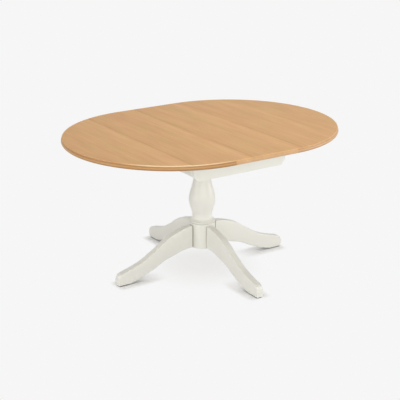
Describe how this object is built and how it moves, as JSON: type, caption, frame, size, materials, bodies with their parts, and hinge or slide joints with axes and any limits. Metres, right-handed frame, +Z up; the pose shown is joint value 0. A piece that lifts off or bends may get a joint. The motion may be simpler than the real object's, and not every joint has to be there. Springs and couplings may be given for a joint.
{
  "type": "extending dining table",
  "caption": "Oval extending dining table: oak top in two sliding halves with a loose leaf, on a painted turned pedestal with curved legs.",
  "frame": {"origin": "on the floor, under the middle of the pedestal, at the middle of the extended table's length and width", "axes": "+X along the table's length towards the right half, +Y across the table towards the back, +Z up"},
  "size_m": [1.4698, 1.11, 0.75],
  "materials": {
    "oak": "satin lacquered oak",
    "cream_paint": "satin cream painted wood",
    "beech": "plain sanded beech",
    "zinc_steel": "zinc plated steel",
    "gear_steel": "plain bright steel",
    "foot_pad": "matte dark pad"
  },
  "bodies": {
    "base": {"column": "cream_paint", "hub_cover": "beech", "hub_cover_screws": "zinc_steel", "leg_left": "cream_paint", "leg_right": "cream_paint", "leg_front": "cream_paint", "leg_back": "cream_paint", "glide_left": "foot_pad", "glide_right": "foot_pad", "glide_front": "foot_pad", "glide_back": "foot_pad", "leg_studs": "zinc_steel", "leg_washers": "zinc_steel", "leg_nuts": "zinc_steel", "pedestal_plate": "gear_steel", "column_bolts": "zinc_steel", "plate_screws": "zinc_steel", "front_rail": "cream_paint", "back_rail": "cream_paint", "left_end_rail": "cream_paint", "right_end_rail": "cream_paint", "left_cross_rail": "beech", "right_cross_rail": "beech", "front_left_corner_block": "beech", "front_right_corner_block": "beech", "back_left_corner_block": "beech", "back_right_corner_block": "beech", "corner_screws": "zinc_steel", "front_fixed_runner": "beech", "back_fixed_runner": "beech", "front_rail_tongue": "beech", "back_rail_tongue": "beech", "tongue_screws": "zinc_steel", "pinion_bridge": "beech", "cross_rail_screws": "zinc_steel", "pinion_washer": "gear_steel", "pinion_pin": "gear_steel"},
    "left_top": {"left_half_top": "oak", "left_front_bearer": "beech", "left_back_bearer": "beech", "left_bearer_screws": "zinc_steel", "left_rack": "gear_steel", "left_rack_screws": "zinc_steel", "left_edge_dowels": "beech"},
    "right_top": {"right_half_top": "oak", "right_front_bearer": "beech", "right_back_bearer": "beech", "right_bearer_screws": "zinc_steel", "right_rack": "gear_steel", "right_rack_screws": "zinc_steel"},
    "leaf": {"centre_leaf": "oak", "leaf_dowels": "beech"},
    "pinion": {"equaliser_pinion": "gear_steel"}
  },
  "joints": [
    {"name": "left_top_slide", "type": "slide", "parent": "base", "child": "left_top", "axis": [1, 0, 0], "range_m": [0, 0.18]},
    {"name": "right_top_slide", "type": "slide", "parent": "base", "child": "right_top", "axis": [-1, 0, 0], "range_m": [0, 0.18]},
    {"name": "leaf_lift", "type": "slide", "parent": "base", "child": "leaf", "axis": [0, 0, 1], "range_m": [0, 0.54]},
    {"name": "pinion_turn", "type": "hinge", "parent": "base", "child": "pinion", "pos_m": [0, 0, 0.715], "axis": [0, 0, 1], "range_deg": [0, 430]}
  ],
  "couplings": [
    {"joint": "right_top_slide", "follows": "left_top_slide", "ratio": 1},
    {"joint": "leaf_lift", "follows": "left_top_slide", "ratio": 3},
    {"joint": "pinion_turn", "follows": "left_top_slide", "rad_per_m": 41.667}
  ]
}
